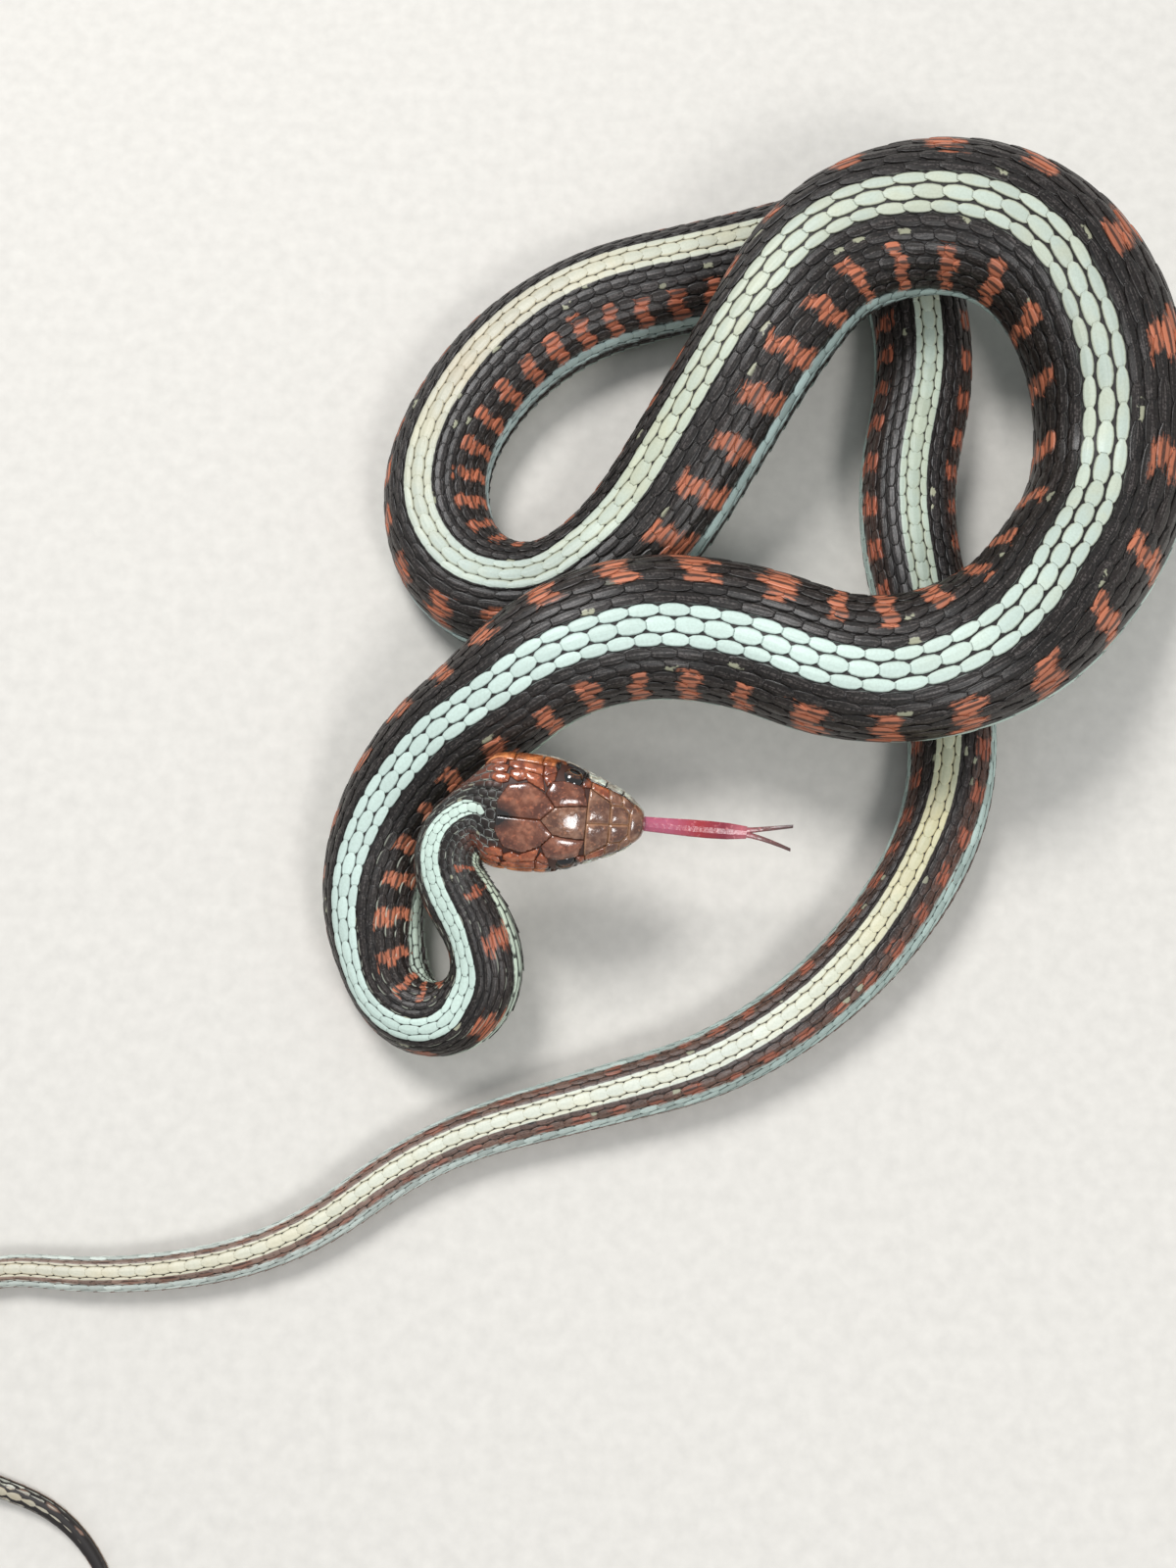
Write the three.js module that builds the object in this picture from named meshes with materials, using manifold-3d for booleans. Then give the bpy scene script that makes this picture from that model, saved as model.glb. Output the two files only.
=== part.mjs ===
// Garter snake, life size, lying coiled with its head raised and its tongue out.
// Millimetres, +Z up, origin on the floor at the middle of the coils' outline.
// The body is one tapering tube, bent along a chain of named bends and parted into lengths by thin cuts.
import * as THREE from "three";
import { mergeVertices } from "three/addons/utils/BufferGeometryUtils.js";
import Module from "manifold-3d";

const wasm = await Module();
wasm.setup();

// Where the neck leaves the head, and the way the neck sets out from there
const START_X = -12.1;
const START_Y = 6.35;
const START_HEADING = -185;

// The bends of the backbone from head to tail: name, length, and turn in degrees, left turns positive.
// A bend of no length is a corner that the blend rounds.
const BENDS = [
  ["nape", 14, 136],
  ["neck_turn", 9, -21],
  ["neck_hook", 25, -193],
  ["rise", 0, 18],
  ["shoulder", 47, -91],
  ["front", 1, 23],
  ["front_sway", 15, -22],
  ["low_arc", 38, -55],
  ["low_arc_end", 2, 13],
  ["right_turn", 38, 65],
  ["right_side", 20, 12],
  ["right_top", 38, 63],
  ["top_arc", 55, 111],
  ["cross_arm", 0, 4],
  ["cross_arm_end", 37, -2],
  ["small_turn", 22, -24],
  ["small_turn_end", 26, -103],
  ["small_side", 19, -42],
  ["small_top", 43, -53],
  ["small_top_end", 30, 5],
  ["under_run", 10, -25],
  ["under_turn", 9, -68],
  ["inner_turn", 30, -31],
  ["inner_run", 28, 28],
  ["inner_run_end", 17, -2],
  ["hind_turn", 31, -41],
  ["hind_run", 50, -40],
  ["hind_run_end", 0, -5],
  ["hind_straight", 28, 0],
  ["hind_sway", 26, 23],
  ["tail_turn", 23, -27],
  ["tail_run", 29, -18],
  ["tail_loop", 33, 124],
  ["tail_loop_end", 4, 24],
  ["tail_return", 14, 25],
  ["tail_hook", 21, -54],
  ["tail_tip", 15, -6],
];
const BEND_BLEND = 9; // each bend eases into the next over this length

// Girth: distance along the backbone and full width of the body there
const WIDTHS = [
  [0, 10.4], [12, 11.2], [36, 12], [44, 12.6], [52, 14.5], [62, 16.4], [80, 18], [98, 19.6], [120, 22.4],
  [160, 22.4], [192, 25], [250, 26.2], [285, 24.6], [315, 20.8], [341, 20.6], [378, 18.4], [407, 17],
  [452, 18], [480, 16.8], [553, 15.8], [579, 14.4], [603, 13.4], [625, 12.1], [647, 10.7], [689, 8.1],
  [730, 6.2], [751, 5.5], [812, 3.2], [847, 1.2],
];
const WIDTH_BLEND = 12;
// Height as a share of the width: round neck and tail, flatter trunk
const HEIGHT_SHARES = [
  [0, 0.95], [36, 0.95], [62, 0.85], [100, 0.75], [285, 0.72], [378, 0.76], [480, 0.8], [579, 0.85],
  [668, 0.9],
];
const HEIGHT_BLEND = 20;
const WIDEST_LEVEL = 0.45; // height of the widest level as a share of the body's height
const BACK_ROUNDNESS = 2.3; // superellipse powers of the section above and below its widest level
const BELLY_ROUNDNESS = 3;

// Height of the belly above the floor: the raised neck, then the spans that cross over other lengths
const NECK_LIFT = [[0, 18], [4, 17], [13, 12], [22, 8.4], [32, 3.6], [42, 0.6], [48, 0]];
const NECK_LIFT_BLEND = 8;
const CROSSING_LIFT = [
  [74, 0], [104, 13.2], [119, 13.2], [137, 10.6], [154, 14], [179, 14], [212, 0],
  [228, 0], [263, 14.4], [314, 14.4], [352, 0],
];
const CROSSING_LIFT_BLEND = 16;
// The section leans by a share of the belly's slope, taken over a span to each side
const LEAN_SHARE = 0.6;
const LEAN_SPAN = 10;

// Lengths that the body is parted into: name and where it ends along the backbone
const FIRST_CUT = 7;
const LENGTHS = [
  ["neck_1", 22], ["neck_2", 48],
  ["trunk_01", 88], ["trunk_02", 128], ["trunk_03", 165], ["trunk_04", 196], ["trunk_05", 240],
  ["trunk_06", 289], ["trunk_07", 333], ["trunk_08", 370], ["trunk_09", 404], ["trunk_10", 450],
  ["trunk_11", 484], ["trunk_12", 530], ["trunk_13", 576], ["trunk_14", 616],
  ["tail_1", 662], ["tail_2", 708], ["tail_3", 754], ["tail_4", 790], ["tail_5", 847],
];
const CUT = 0.3; // gap left between pieces that meet
const NECK_GAP = 0.6; // gap behind the head, where the sections lean most
const BODY_SIDES = 16;
const RING_STEP = 5.2;

// Head, in its own frame: x forward from the neck joint, y left, z up from the mouth line
const HEAD_LENGTH = 24.6;
const HEAD_X = -13.7;
const HEAD_Y = 7.8;
const HEAD_YAW = -6;
const HEAD_ROLL = 22; // leans over to its right
const MOUTH_HEIGHT = 22; // mouth line above the floor
const HEAD_SIDES = 20;
// Distance behind the snout, half width, height of the crown and depth of the chin
const HEAD_STATIONS = [
  [0, 1.3, 1.5, 0.9], [0.35, 2.1, 2.1, 1.3], [1.2, 3, 2.7, 1.6], [2.8, 4.4, 3.4, 2], [5, 5.5, 4.3, 2.3],
  [7.5, 6.5, 5.2, 2.6], [10, 7.5, 6.2, 2.9], [12.5, 8.4, 6.7, 3.2], [15.5, 8.9, 6.8, 3.6], [19, 8.9, 6.7, 3.9],
  [22, 8.7, 6.4, 4], [24, 8, 6.2, 4], [25.2, 6.9, 5.9, 3.9],
];
const CROWN_FLATNESS = 0.72;
const CHIN_FLATNESS = 0.85;
const FLANK_SLOPE = 0.9;

const EYE_RADIUS = 2;
const EYE_BEHIND_SNOUT = 11.3;
const EYE_OFF_MIDDLE = 5.6;
const EYE_HEIGHT = 2.9;
const EYE_SEGMENTS = [16, 12];

// Side view of the mouth line: distance behind the snout and height, then the back of the jaw
const MOUTH_LINE = [[-2, 0.1], [3, 0], [9, 0.25], [15, 0.2], [20, -0.7], [22.8, -1.6]];
const JAW_DEPTH = 12;
const JAW_BREADTH = 30;

const TONGUE_ROOT = 2; // how far the tongue starts inside the mouth
const TONGUE_LENGTH = 15.5; // snout to fork
const TONGUE_SAG = 1.6;
const STALK = [[0, 2.1, 1.2], [0.25, 2.3, 1.1], [0.6, 2.7, 1], [0.85, 2.5, 0.9], [1, 1.9, 0.85]];
const PRONG_LENGTH = 7.4;
const PRONG_OVERLAP = 0.6; // length of a prong inside the stalk
const PRONG_OFFSET = 0.25; // of a prong's root from the middle
const PRONG_SAG = 0.5;
const PRONG_CURVE = 1.3;
const PRONG_SPREADS = [["left", 1.4], ["right", -1.7]];
const PRONG = [[0, 0.95, 0.85], [1, 0.52, 0.52]];
const TONGUE_SIDES = 10;
const TONGUE_SLOT = { width: 2.9, height: 1.9, depth: 2.6 };

const HIND_COLOUR_FROM = 500;
const COLOURS = {
  back: 0x2b2624,
  hind: 0x4a3f38,
  head: 0x6e3826,
  jaw: 0xb9c4a8,
  eye: 0x0c0a09,
  tongue: 0xc45a5c,
};

const radians = THREE.MathUtils.degToRad;

// Straight lines between rows of [place, value, ...], for the value in the given column
function between(rows, place, column = 1) {
  if (place <= rows[0][0]) return rows[0][column];
  for (let i = 1; i < rows.length; i++) {
    if (place > rows[i][0]) continue;
    const share = (place - rows[i - 1][0]) / (rows[i][0] - rows[i - 1][0]);
    return THREE.MathUtils.lerp(rows[i - 1][column], rows[i][column], share);
  }
  return rows.at(-1)[column];
}

// The same with its corners rounded, as the mean over a short window
function eased(rows, place, window, column = 1) {
  const samples = 9;
  let sum = 0;
  for (let k = 0; k < samples; k++) {
    sum += between(rows, place + window * (k / (samples - 1) - 0.5), column);
  }
  return sum / samples;
}

function lift(place) {
  return eased(NECK_LIFT, place, NECK_LIFT_BLEND) + eased(CROSSING_LIFT, place, CROSSING_LIFT_BLEND);
}

// Heading along the backbone as rows, and the backbone walked in short steps
const turns = [[0, START_HEADING]];
for (const [, length, turn] of BENDS) {
  const [place, heading] = turns.at(-1);
  turns.push([place + length, heading + turn]);
}
const BODY_LENGTH = turns.at(-1)[0];
const STEP = 0.5;
const track = [[0, START_X, START_Y]];
for (let place = STEP; place <= BODY_LENGTH + 1e-6; place += STEP) {
  const heading = radians(eased(turns, place - STEP / 2, BEND_BLEND));
  const [, x, y] = track.at(-1);
  track.push([place, x + STEP * Math.cos(heading), y + STEP * Math.sin(heading)]);
}

// Bottom facets are brought down onto the belly line, whatever the number of sides
const BELLY_REACH = Math.cos(Math.PI / BODY_SIDES) ** (2 / BELLY_ROUNDNESS);

// Point of the body at a place along it, at an angle from the top of the back towards the left
function bodyPoint(place, angle, share = 1) {
  const heading = radians(eased(turns, place, BEND_BLEND));
  const slope = (lift(place + LEAN_SPAN) - lift(place - LEAN_SPAN)) / (2 * LEAN_SPAN);
  const pitch = LEAN_SHARE * Math.atan(slope);
  const width = eased(WIDTHS, place, WIDTH_BLEND);
  const height = width * eased(HEIGHT_SHARES, place, HEIGHT_BLEND);
  const sine = Math.sin(angle);
  const cosine = Math.cos(angle);
  const power = 2 / (cosine > 0 ? BACK_ROUNDNESS : BELLY_ROUNDNESS);
  const reach = cosine > 0 ? 1 - WIDEST_LEVEL : WIDEST_LEVEL / BELLY_REACH;
  const side = (width / 2) * Math.sign(sine) * Math.abs(sine) ** power * share;
  const rise = height * (WIDEST_LEVEL + reach * Math.sign(cosine) * Math.abs(cosine) ** power * share);
  const left = new THREE.Vector3(-Math.sin(heading), Math.cos(heading), 0);
  const up = new THREE.Vector3(
    -Math.sin(pitch) * Math.cos(heading),
    -Math.sin(pitch) * Math.sin(heading),
    Math.cos(pitch),
  );
  return new THREE.Vector3(between(track, place), between(track, place, 2), lift(place))
    .addScaledVector(left, side)
    .addScaledVector(up, Math.max(rise, 0));
}

// A closed cylinder whose rings are laid by a function of (share along it, angle, share of the radius)
function loft(sides, rings, lay) {
  const geometry = new THREE.CylinderGeometry(1, 1, 1, sides, rings, false, Math.PI / sides, 2 * Math.PI);
  const positions = geometry.attributes.position;
  for (let i = 0; i < positions.count; i++) {
    const angle = Math.atan2(positions.getX(i), positions.getZ(i));
    const radius = Math.min(1, Math.hypot(positions.getX(i), positions.getZ(i)));
    const point = lay(0.5 - positions.getY(i), angle, radius);
    positions.setXYZ(i, point.x, point.y, point.z);
  }
  geometry.deleteAttribute("uv");
  geometry.deleteAttribute("normal");
  const merged = mergeVertices(geometry, 1e-3);
  merged.computeVertexNormals();
  return merged;
}

function solid(geometry) {
  const bare = geometry.clone();
  bare.deleteAttribute("uv");
  bare.deleteAttribute("normal");
  const merged = mergeVertices(bare, 1e-3);
  return new wasm.Manifold(
    new wasm.Mesh({
      numProp: 3,
      vertProperties: merged.attributes.position.array,
      triVerts: new Uint32Array(merged.index.array),
    }),
  );
}

function surface(manifold) {
  const mesh = manifold.getMesh();
  const geometry = new THREE.BufferGeometry();
  geometry.setAttribute("position", new THREE.BufferAttribute(mesh.vertProperties, mesh.numProp));
  geometry.setIndex(new THREE.BufferAttribute(mesh.triVerts, 1));
  geometry.computeVertexNormals();
  return geometry;
}

function named(name, geometry, colour, roughness) {
  const material = new THREE.MeshStandardMaterial({ color: colour, roughness, metalness: 0 });
  const mesh = new THREE.Mesh(geometry, material);
  mesh.name = name;
  return mesh;
}

function bodyLength(name, from, to) {
  const rings = Math.max(3, Math.round((to - from) / RING_STEP));
  const geometry = loft(BODY_SIDES, rings, (along, angle, radius) =>
    bodyPoint(THREE.MathUtils.lerp(from, to, along), angle, radius),
  );
  return named(name, geometry, from < HIND_COLOUR_FROM ? COLOURS.back : COLOURS.hind, 0.5);
}

const headGroup = new THREE.Group();
headGroup.position.set(HEAD_X, HEAD_Y, MOUTH_HEIGHT);
headGroup.rotation.set(radians(HEAD_ROLL), 0, radians(HEAD_YAW), "ZXY");
headGroup.updateMatrixWorld(true);

// Point of the head's outer form; the last ring is the body's own, so that head and neck run on
function headPoint(share, angle, radius) {
  const ring = Math.round(share * HEAD_STATIONS.length);
  if (ring === 0) return headGroup.worldToLocal(bodyPoint(FIRST_CUT - NECK_GAP, -angle, radius));
  const [behind, halfWidth, crown, chin] = HEAD_STATIONS[HEAD_STATIONS.length - ring];
  const sine = Math.sin(angle);
  const cosine = Math.cos(angle);
  const height = cosine > 0 ? crown * cosine ** CROWN_FLATNESS : -chin * (-cosine) ** CHIN_FLATNESS;
  return new THREE.Vector3(
    HEAD_LENGTH - behind,
    halfWidth * Math.sign(sine) * Math.abs(sine) ** FLANK_SLOPE * radius,
    height * radius,
  );
}

// Block below the mouth line, raised and set back by the given gap
function jawBlock(gap) {
  const outline = new THREE.Shape();
  MOUTH_LINE.forEach(([behind, height], i) => {
    const last = i === MOUTH_LINE.length - 1;
    outline[i ? "lineTo" : "moveTo"](HEAD_LENGTH - behind - (last ? gap : 0), height + gap);
  });
  const back = HEAD_LENGTH - MOUTH_LINE.at(-1)[0] - gap;
  outline.lineTo(back, -JAW_DEPTH);
  outline.lineTo(HEAD_LENGTH + 2, -JAW_DEPTH);
  outline.closePath();
  const geometry = new THREE.ExtrudeGeometry(outline, { depth: JAW_BREADTH, bevelEnabled: false });
  geometry.rotateX(Math.PI / 2);
  geometry.translate(0, JAW_BREADTH / 2, 0);
  return solid(geometry);
}

function eyeBall(name, side) {
  const ball = new THREE.SphereGeometry(EYE_RADIUS, ...EYE_SEGMENTS);
  ball.rotateX(Math.PI / 2);
  const mesh = named(name, ball, COLOURS.eye, 0.08);
  mesh.position.set(HEAD_LENGTH - EYE_BEHIND_SNOUT, side * EYE_OFF_MIDDLE, EYE_HEIGHT);
  return mesh;
}

function eyeSocket(side) {
  const ball = new THREE.SphereGeometry(EYE_RADIUS + CUT, ...EYE_SEGMENTS);
  ball.translate(HEAD_LENGTH - EYE_BEHIND_SNOUT, side * EYE_OFF_MIDDLE, EYE_HEIGHT);
  return solid(ball);
}

function tongueSlot() {
  const { width, height, depth } = TONGUE_SLOT;
  const block = new THREE.BoxGeometry(depth * 2, width, height);
  block.translate(HEAD_LENGTH, 0, 0);
  return solid(block);
}

function headParts() {
  const whole = solid(loft(HEAD_SIDES, HEAD_STATIONS.length, headPoint));
  const upper = whole
    .subtract(jawBlock(CUT))
    .subtract(tongueSlot())
    .subtract(eyeSocket(1))
    .subtract(eyeSocket(-1));
  const lower = whole.intersect(jawBlock(0)).subtract(tongueSlot());
  return [
    named("head", surface(upper), COLOURS.head, 0.3),
    named("lower_jaw", surface(lower), COLOURS.jaw, 0.4),
    eyeBall("eye_left", 1),
    eyeBall("eye_right", -1),
  ];
}

// A flat bar that tapers by rows of [share, width, thickness] along a line from the fork or the mouth
function tongueBar(rows, rings, line) {
  return solid(
    loft(TONGUE_SIDES, rings, (share, angle, radius) => {
      const middle = line(share);
      middle.y += (between(rows, share) / 2) * Math.sin(angle) * radius;
      middle.z += (between(rows, share, 2) / 2) * Math.cos(angle) * radius;
      return middle;
    }),
  );
}

function tongue() {
  const root = HEAD_LENGTH - TONGUE_ROOT;
  const fork = HEAD_LENGTH + TONGUE_LENGTH;
  let whole = tongueBar(STALK, 6, (share) =>
    new THREE.Vector3(THREE.MathUtils.lerp(root, fork, share), 0, -TONGUE_SAG * share ** 2),
  );
  for (const [, spread] of PRONG_SPREADS) {
    const base = Math.sign(spread) * PRONG_OFFSET;
    const prong = tongueBar(PRONG, 5, (share) =>
      new THREE.Vector3(
        fork - PRONG_OVERLAP + PRONG_LENGTH * share,
        base + spread * share ** PRONG_CURVE,
        -TONGUE_SAG - PRONG_SAG * Math.sin(Math.PI * share),
      ),
    );
    whole = whole.add(prong);
  }
  return named("tongue", surface(whole), COLOURS.tongue, 0.25);
}

headGroup.add(...headParts(), tongue());

const snake = new THREE.Group();
snake.add(headGroup);
let from = FIRST_CUT;
for (const [name, to] of LENGTHS) {
  const end = to === BODY_LENGTH ? to : to - CUT;
  snake.add(bodyLength(name, from, end));
  from = to;
}

export default snake;
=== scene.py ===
"""Looks of a life-size garter snake: a skin over the whole body, scales and plates over it, eyes, tongue.

Lengths in the tables are millimetres; meshes are in metres. A place is a distance along the backbone from
the back of the head towards the tail, so places on the head are negative. A turn is the share of the
girth from the top of the back round by the animal's right side. A row counts dorsal scales from the
middle of the back, a ring counts them tailwards.
"""

import bmesh
import bpy
import numpy as np
from mathutils import Matrix, Vector


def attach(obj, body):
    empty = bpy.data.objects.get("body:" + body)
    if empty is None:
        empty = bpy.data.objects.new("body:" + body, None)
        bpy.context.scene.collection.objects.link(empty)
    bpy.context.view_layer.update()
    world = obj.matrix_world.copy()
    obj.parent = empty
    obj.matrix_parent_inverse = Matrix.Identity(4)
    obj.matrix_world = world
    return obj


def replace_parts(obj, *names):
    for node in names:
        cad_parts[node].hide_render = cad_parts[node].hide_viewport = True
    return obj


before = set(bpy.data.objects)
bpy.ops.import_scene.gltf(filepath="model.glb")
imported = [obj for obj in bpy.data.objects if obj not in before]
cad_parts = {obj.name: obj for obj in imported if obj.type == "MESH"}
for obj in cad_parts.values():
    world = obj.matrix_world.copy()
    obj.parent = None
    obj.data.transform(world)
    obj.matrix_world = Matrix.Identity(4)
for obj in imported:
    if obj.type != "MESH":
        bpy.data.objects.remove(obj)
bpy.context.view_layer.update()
MM = 0.001

# Backbone, girth and lift, as in the solids
START = (-12.1, 6.35)
START_HEADING = -185
BENDS = [
    ("nape", 14, 136), ("neck_turn", 9, -21), ("neck_hook", 25, -193), ("rise", 0, 18),
    ("shoulder", 47, -91), ("front", 1, 23), ("front_sway", 15, -22), ("low_arc", 38, -55),
    ("low_arc_end", 2, 13), ("right_turn", 38, 65), ("right_side", 20, 12), ("right_top", 38, 63),
    ("top_arc", 55, 111), ("cross_arm", 0, 4), ("cross_arm_end", 37, -2), ("small_turn", 22, -24),
    ("small_turn_end", 26, -103), ("small_side", 19, -42), ("small_top", 43, -53),
    ("small_top_end", 30, 5), ("under_run", 10, -25), ("under_turn", 9, -68), ("inner_turn", 30, -31),
    ("inner_run", 28, 28), ("inner_run_end", 17, -2), ("hind_turn", 31, -41), ("hind_run", 50, -40),
    ("hind_run_end", 0, -5), ("hind_straight", 28, 0), ("hind_sway", 26, 23), ("tail_turn", 23, -27),
    ("tail_run", 29, -18), ("tail_loop", 33, 124), ("tail_loop_end", 4, 24), ("tail_return", 14, 25),
    ("tail_hook", 21, -54), ("tail_tip", 15, -6),
]
BEND_BLEND = 9
WIDTHS = [
    [0, 10.4], [12, 11.2], [36, 12], [44, 12.6], [52, 14.5], [62, 16.4], [80, 18], [98, 19.6], [120, 22.4],
    [160, 22.4], [192, 25], [250, 26.2], [285, 24.6], [315, 20.8], [341, 20.6], [378, 18.4], [407, 17],
    [452, 18], [480, 16.8], [553, 15.8], [579, 14.4], [603, 13.4], [625, 12.1], [647, 10.7], [689, 8.1],
    [730, 6.2], [751, 5.5], [812, 3.2], [847, 1.2],
]
WIDTH_BLEND = 12
HEIGHT_SHARES = [
    [0, 0.95], [36, 0.95], [62, 0.85], [100, 0.75], [285, 0.72], [378, 0.76], [480, 0.8], [579, 0.85],
    [668, 0.9],
]
HEIGHT_BLEND = 20
WIDEST_LEVEL = 0.45
BACK_ROUNDNESS = 2.3
BELLY_ROUNDNESS = 3
BELLY_FLAT = np.cos(np.pi / 16) ** (2 / BELLY_ROUNDNESS)
NECK_LIFT = [[0, 18], [4, 17], [13, 12], [22, 8.4], [32, 3.6], [42, 0.6], [48, 0]]
NECK_LIFT_BLEND = 8
CROSSING_LIFT = [
    [74, 0], [104, 13.2], [119, 13.2], [137, 10.6], [154, 14], [179, 14], [212, 0],
    [228, 0], [263, 14.4], [314, 14.4], [352, 0],
]
CROSSING_LIFT_BLEND = 16
LEAN_SHARE = 0.6
LEAN_SPAN = 10

# Head, in its own frame: x forward from the back of the head, y left, z up from the mouth line
HEAD_LENGTH = 24.6
HEAD_PLACE = (-13.7, 7.8)
HEAD_YAW = -6
HEAD_ROLL = 22
MOUTH_HEIGHT = 22
# Distance behind the snout, half width, height of the crown and depth of the chin
HEAD_STATIONS = [
    [0, 1.3, 1.5, 0.9], [0.35, 2.1, 2.1, 1.3], [1.2, 3, 2.7, 1.6], [2.8, 4.4, 3.4, 2], [5, 5.5, 4.3, 2.3],
    [7.5, 6.5, 5.2, 2.6], [10, 7.5, 6.2, 2.9], [12.5, 8.4, 6.7, 3.2], [15.5, 8.9, 6.8, 3.6],
    [19, 8.9, 6.7, 3.9], [22, 8.7, 6.4, 4], [24, 8, 6.2, 4], [25.2, 6.9, 5.9, 3.9],
]
CROWN_FLATNESS = 0.72
CHIN_FLATNESS = 0.85
FLANK_SLOPE = 0.9
SNOUT_CAP = 0.25
HEAD_EASE = 0.3
EYE = dict(radius=2, behind=11.3, off=5.6, height=2.9)

# Scales
COAT_DEPTH = 0.38  # the skin lies this far inside the outline that the scales' tips reach
# Length of one ring of scales
PITCHES = [
    [-24, 1.3], [-3, 1.3], [2, 1.5], [10, 2.1], [20, 2.7], [44, 3.4], [70, 3.5], [83, 3.8], [94, 4.1],
    [114, 4.4], [149, 4.5], [162, 4.6], [173, 5.1], [191, 5.1], [212, 5.6], [231, 5.2], [251, 5.1],
    [268, 4.7], [300, 4.6], [314, 4.4], [327, 4.3], [341, 4.1], [378, 3.4], [407, 3.5], [450, 3.2],
    [553, 3.15], [603, 2.9], [650, 2.65], [700, 2.55], [750, 2.5], [800, 2.4], [847, 2.2],
]
# The place where each row of scales begins behind the head's plates
NAPE = [[0, -2.9], [1, -2.9], [2, -3.5], [3, -3.4], [4, -2.3], [6, -1.7], [7, -1.2], [8, -0.6], [9, -3]]
# Rows of scales on each side
SIDE_ROWS = [
    [0, 9], [380, 9], [430, 8], [600, 8], [616, 7.4], [640, 6.4], [689, 4.9], [751, 3.6], [812, 2.5],
    [847, 2],
]
BELLY_SHARE = 0.165  # half the belly plates' width as a share of the girth
MIDDLE_ROW = 1.28  # width of the middle row against its neighbours
ROW_GROWTH = 0.045  # each row below the third is this much wider than the one above
# How far the markings are rolled round the body, in degrees towards the animal's right
ROLLS = [
    [-3, 0], [0, 0], [6, -24], [13, -29], [21, -43], [30, -12], [38, 27], [46, 49], [57, 32], [70, 16],
    [83, 4], [98, 0], [114, -10], [162, -13], [173, -4], [191, 9], [231, 15], [251, 17], [268, 8],
    [285, 0], [300, -13], [314, -25], [341, -22], [359, -20], [378, 0], [393, 15], [436, 16], [468, 9],
    [506, 0], [553, -1], [579, -10], [590, -12], [603, -14.5], [612, -11], [620, -8], [636, -3],
    [655, -1], [665, 0], [680, -1.5], [715, -3], [745, -4], [847, -4],
]
ROLL_BLEND = 5


def between(rows, place, column=1):
    table = np.asarray(rows, float)
    return np.interp(place, table[:, 0], table[:, column])


def eased(rows, place, window, column=1):
    place = np.asarray(place, float)
    return sum(between(rows, place + window * (k / 8 - 0.5), column) for k in range(9)) / 9


def lift(place):
    return eased(NECK_LIFT, place, NECK_LIFT_BLEND) + eased(CROSSING_LIFT, place, CROSSING_LIFT_BLEND)


def smooth(low, high, value):
    share = np.clip((np.asarray(value, float) - low) / (high - low), 0, 1)
    return share * share * (3 - 2 * share)


TURNS = np.cumsum([[0, START_HEADING]] + [[length, turn] for _, length, turn in BENDS], axis=0)
LENGTH = float(TURNS[-1, 0])
STEP = 0.5
steps = np.arange(STEP, LENGTH + STEP / 2, STEP)
along = np.radians(eased(TURNS, steps - STEP / 2, BEND_BLEND))
TRACK = np.column_stack([
    np.r_[0, steps],
    START[0] + np.r_[0, np.cumsum(STEP * np.cos(along))],
    START[1] + np.r_[0, np.cumsum(STEP * np.sin(along))],
])


def body_at(place, angle):
    """Points of the body's outline at places along it and angles from the top of the back."""
    kept = np.maximum(place, 0)
    heading = np.radians(eased(TURNS, kept, BEND_BLEND))
    pitch = LEAN_SHARE * np.arctan((lift(kept + LEAN_SPAN) - lift(kept - LEAN_SPAN)) / (2 * LEAN_SPAN))
    width = eased(WIDTHS, kept, WIDTH_BLEND)
    height = width * eased(HEIGHT_SHARES, kept, HEIGHT_BLEND)
    sine, cosine = np.sin(angle), np.cos(angle)
    power = np.where(cosine > 0, 2 / BACK_ROUNDNESS, 2 / BELLY_ROUNDNESS)
    reach = np.where(cosine > 0, 1 - WIDEST_LEVEL, WIDEST_LEVEL / BELLY_FLAT)
    side = width / 2 * np.sign(sine) * np.abs(sine) ** power
    rise = np.maximum(height * (WIDEST_LEVEL + reach * np.sign(cosine) * np.abs(cosine) ** power), 0)
    ahead = place - kept
    x = (between(TRACK, kept) + ahead * np.cos(heading) - side * np.sin(heading)
         - rise * np.sin(pitch) * np.cos(heading))
    y = (between(TRACK, kept, 2) + ahead * np.sin(heading) + side * np.cos(heading)
         - rise * np.sin(pitch) * np.sin(heading))
    return np.stack(np.broadcast_arrays(x, y, lift(kept) + rise * np.cos(pitch)), -1)


HEAD_FRAME = (
    Matrix.Translation((*HEAD_PLACE, MOUTH_HEIGHT))
    @ Matrix.Rotation(np.radians(HEAD_YAW), 4, "Z")
    @ Matrix.Rotation(np.radians(HEAD_ROLL), 4, "X")
)
HEAD_MATRIX = np.array(HEAD_FRAME)
HEAD_SPREAD = [[np.sqrt(behind), *sizes] for behind, *sizes in HEAD_STATIONS]


def from_head(points):
    return points @ HEAD_MATRIX[:3, :3].T + HEAD_MATRIX[:3, 3]


def head_section(behind, column):
    """Half width (1), height of the crown (2) or depth of the chin (3), at distances behind the snout."""
    return eased(HEAD_SPREAD, np.sqrt(np.clip(behind, 0, None)), HEAD_EASE, column)


def head_at(behind, angle):
    """Points of the head's outline, at distances behind the snout and angles round it from the crown."""
    cap = np.sqrt(np.clip(1 - (np.minimum(behind, 0) / SNOUT_CAP) ** 2, 0, 1))
    half, crown, chin = (head_section(behind, column) * cap for column in (1, 2, 3))
    sine, cosine = -np.sin(angle), np.cos(angle)
    z = np.where(
        cosine > 0, crown * np.abs(cosine) ** CROWN_FLATNESS, -chin * np.abs(cosine) ** CHIN_FLATNESS)
    y = half * np.sign(sine) * np.abs(sine) ** FLANK_SLOPE
    return from_head(np.stack(np.broadcast_arrays(HEAD_LENGTH - behind, y, z), -1))


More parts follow.
